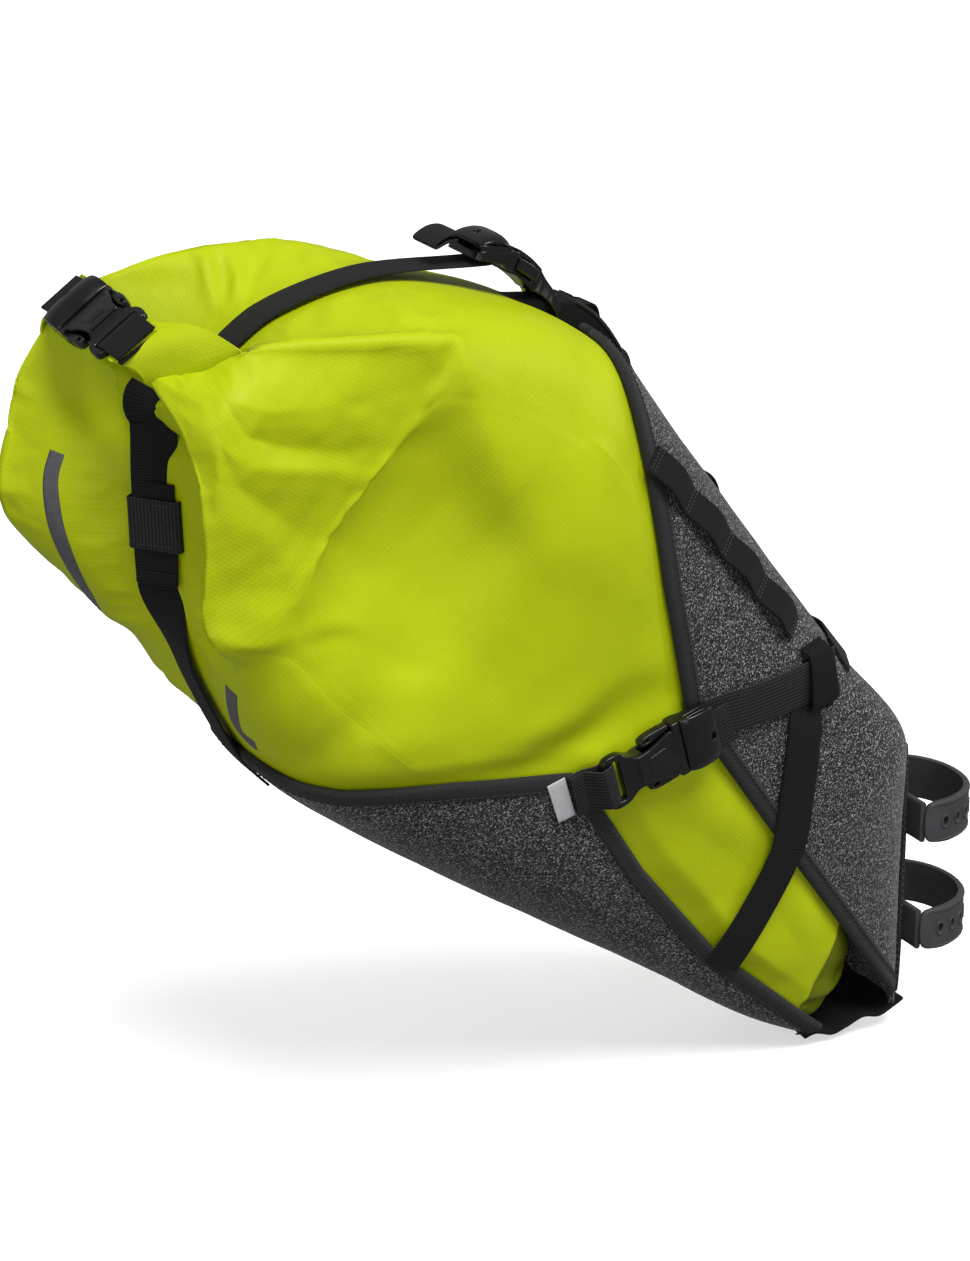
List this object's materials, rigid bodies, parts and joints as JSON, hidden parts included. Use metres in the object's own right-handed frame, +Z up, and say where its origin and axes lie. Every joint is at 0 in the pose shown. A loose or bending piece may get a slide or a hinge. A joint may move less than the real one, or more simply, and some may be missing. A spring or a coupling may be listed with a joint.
{
  "type": "bicycle saddle bag",
  "caption": "Bikepacking saddle bag: stiff two-shell holster with rubber seatpost straps and compression webbing, carrying a roll-top dry bag closed by side-release buckles.",
  "frame": {"origin": "middle of the flat seatpost face of the holster", "axes": "+X forward, out of the seatpost face towards the seatpost; +Z up along the seatpost; +Y to the bicycle's left"},
  "size_m": [0.5522, 0.1928, 0.5129],
  "materials": {
    "ripstop_lime": "satin",
    "melange_grey": "matte",
    "webbing_black": "matte",
    "acetal_black": "gloss",
    "stiffener_black": "matte",
    "rubber_grey": "matte",
    "reflective_pale": "satin",
    "reflective_grey": "satin"
  },
  "bodies": {
    "holster": {"drybag_body": "ripstop_lime", "roll_bar": "ripstop_lime", "roll_stiffener": "stiffener_black", "roll_arm_r": "ripstop_lime", "roll_arm_l": "ripstop_lime", "roll_tab_r": "webbing_black", "roll_tab_l": "webbing_black", "roll_socket": "acetal_black", "upper_shell": "melange_grey", "lower_shell": "melange_grey", "nose_gusset": "webbing_black", "upper_binding_r": "webbing_black", "upper_binding_l": "webbing_black", "lower_binding_r": "webbing_black", "lower_binding_l": "webbing_black", "seatpost_pad": "rubber_grey", "seatpost_stiffener": "stiffener_black", "lower_stiffener": "stiffener_black", "top_tab": "webbing_black", "top_socket": "acetal_black", "rear_strap": "webbing_black", "top_strap": "webbing_black", "strap_tail": "webbing_black", "side_tab_r": "webbing_black", "side_tab_l": "webbing_black", "side_reflector_r": "reflective_pale", "side_reflector_l": "reflective_pale", "side_socket_r": "acetal_black", "side_socket_l": "acetal_black", "side_strap_r": "webbing_black", "side_strap_l": "webbing_black", "rail_strap": "webbing_black", "rail_keeper_r": "webbing_black", "rail_keeper_l": "webbing_black", "cross_strap_r": "webbing_black", "cross_strap_l": "webbing_black", "daisy_chain_r": "webbing_black", "daisy_chain_l": "webbing_black", "rear_reflector_r": "reflective_grey", "rear_reflector_l": "reflective_grey", "strap_hook_upper": "rubber_grey", "strap_hook_lower": "rubber_grey"},
    "top_plug": {"top_plug": "acetal_black"},
    "top_prong_a": {"top_prong_a": "acetal_black"},
    "top_prong_b": {"top_prong_b": "acetal_black"},
    "roll_plug": {"roll_plug": "acetal_black"},
    "roll_prong_a": {"roll_prong_a": "acetal_black"},
    "roll_prong_b": {"roll_prong_b": "acetal_black"},
    "side_plug_r": {"side_plug_r": "acetal_black"},
    "side_prong_r_a": {"side_prong_r_a": "acetal_black"},
    "side_prong_r_b": {"side_prong_r_b": "acetal_black"},
    "side_plug_l": {"side_plug_l": "acetal_black"},
    "side_prong_l_a": {"side_prong_l_a": "acetal_black"},
    "side_prong_l_b": {"side_prong_l_b": "acetal_black"},
    "seatpost_strap_upper": {"seatpost_strap_upper": "rubber_grey"},
    "seatpost_strap_lower": {"seatpost_strap_lower": "rubber_grey"},
    "strap_keeper": {"strap_keeper": "webbing_black"}
  },
  "joints": [
    {"name": "top_release", "type": "slide", "parent": "holster", "child": "top_plug", "axis": [-0.9, 0, 0.436], "range_m": [0, 0.022], "deforming": ["top_strap"]},
    {"name": "top_prong_a_squeeze", "type": "hinge", "parent": "top_plug", "child": "top_prong_a", "pos_m": [-0.25564, 0.016, 0.38883], "axis": [-0.436, 0, -0.9], "range_deg": [0, 6], "stiffness_Nm_per_rad": 0.4},
    {"name": "top_prong_b_squeeze", "type": "hinge", "parent": "top_plug", "child": "top_prong_b", "pos_m": [-0.25564, -0.016, 0.38883], "axis": [0.436, 0, 0.9], "range_deg": [0, 6], "stiffness_Nm_per_rad": 0.4},
    {"name": "roll_release", "type": "slide", "parent": "holster", "child": "roll_plug", "axis": [0, 1, 0], "range_m": [0, 0.022], "deforming": ["roll_tab_l", "roll_arm_l"]},
    {"name": "roll_prong_a_squeeze", "type": "hinge", "parent": "roll_plug", "child": "roll_prong_a", "pos_m": [-0.45906, 0.0296, 0.38641], "axis": [0.5879, 0, -0.8089], "range_deg": [0, 6], "stiffness_Nm_per_rad": 0.4},
    {"name": "roll_prong_b_squeeze", "type": "hinge", "parent": "roll_plug", "child": "roll_prong_b", "pos_m": [-0.48494, 0.0296, 0.36759], "axis": [-0.5879, 0, 0.8089], "range_deg": [0, 6], "stiffness_Nm_per_rad": 0.4},
    {"name": "side_release_r", "type": "slide", "parent": "holster", "child": "side_plug_r", "axis": [0.9493, 0.0464, 0.3108], "range_m": [0, 0.022], "deforming": ["side_strap_r"]},
    {"name": "side_prong_r_a_squeeze", "type": "hinge", "parent": "side_plug_r", "child": "side_prong_r_a", "pos_m": [-0.18871, -0.07759, 0.11553], "axis": [-0.0796, 0.9923, 0.0951], "range_deg": [0, 6], "stiffness_Nm_per_rad": 0.4},
    {"name": "side_prong_r_b_squeeze", "type": "hinge", "parent": "side_plug_r", "child": "side_prong_r_b", "pos_m": [-0.19843, -0.08127, 0.14579], "axis": [0.0796, -0.9923, -0.0951], "range_deg": [0, 6], "stiffness_Nm_per_rad": 0.4},
    {"name": "side_release_l", "type": "slide", "parent": "holster", "child": "side_plug_l", "axis": [0.9493, -0.0464, 0.3108], "range_m": [0, 0.022], "deforming": ["side_strap_l"]},
    {"name": "side_prong_l_a_squeeze", "type": "hinge", "parent": "side_plug_l", "child": "side_prong_l_a", "pos_m": [-0.19843, 0.08127, 0.14579], "axis": [-0.0796, -0.9923, 0.0951], "range_deg": [0, 6], "stiffness_Nm_per_rad": 0.4},
    {"name": "side_prong_l_b_squeeze", "type": "hinge", "parent": "side_plug_l", "child": "side_prong_l_b", "pos_m": [-0.18871, 0.07759, 0.11553], "axis": [0.0796, 0.9923, -0.0951], "range_deg": [0, 6], "stiffness_Nm_per_rad": 0.4},
    {"name": "seatpost_strap_upper_swing", "type": "hinge", "parent": "holster", "child": "seatpost_strap_upper", "pos_m": [0.0018, -0.036, 0.033], "axis": [0, 0, -1], "range_deg": [0, 100]},
    {"name": "seatpost_strap_lower_swing", "type": "hinge", "parent": "holster", "child": "seatpost_strap_lower", "pos_m": [0.0018, -0.036, -0.035], "axis": [0, 0, -1], "range_deg": [0, 100]},
    {"name": "keeper_slide", "type": "slide", "parent": "holster", "child": "strap_keeper", "axis": [-0.0239, 0, 0.9997], "range_m": [-0.01, 0.008]}
  ]
}
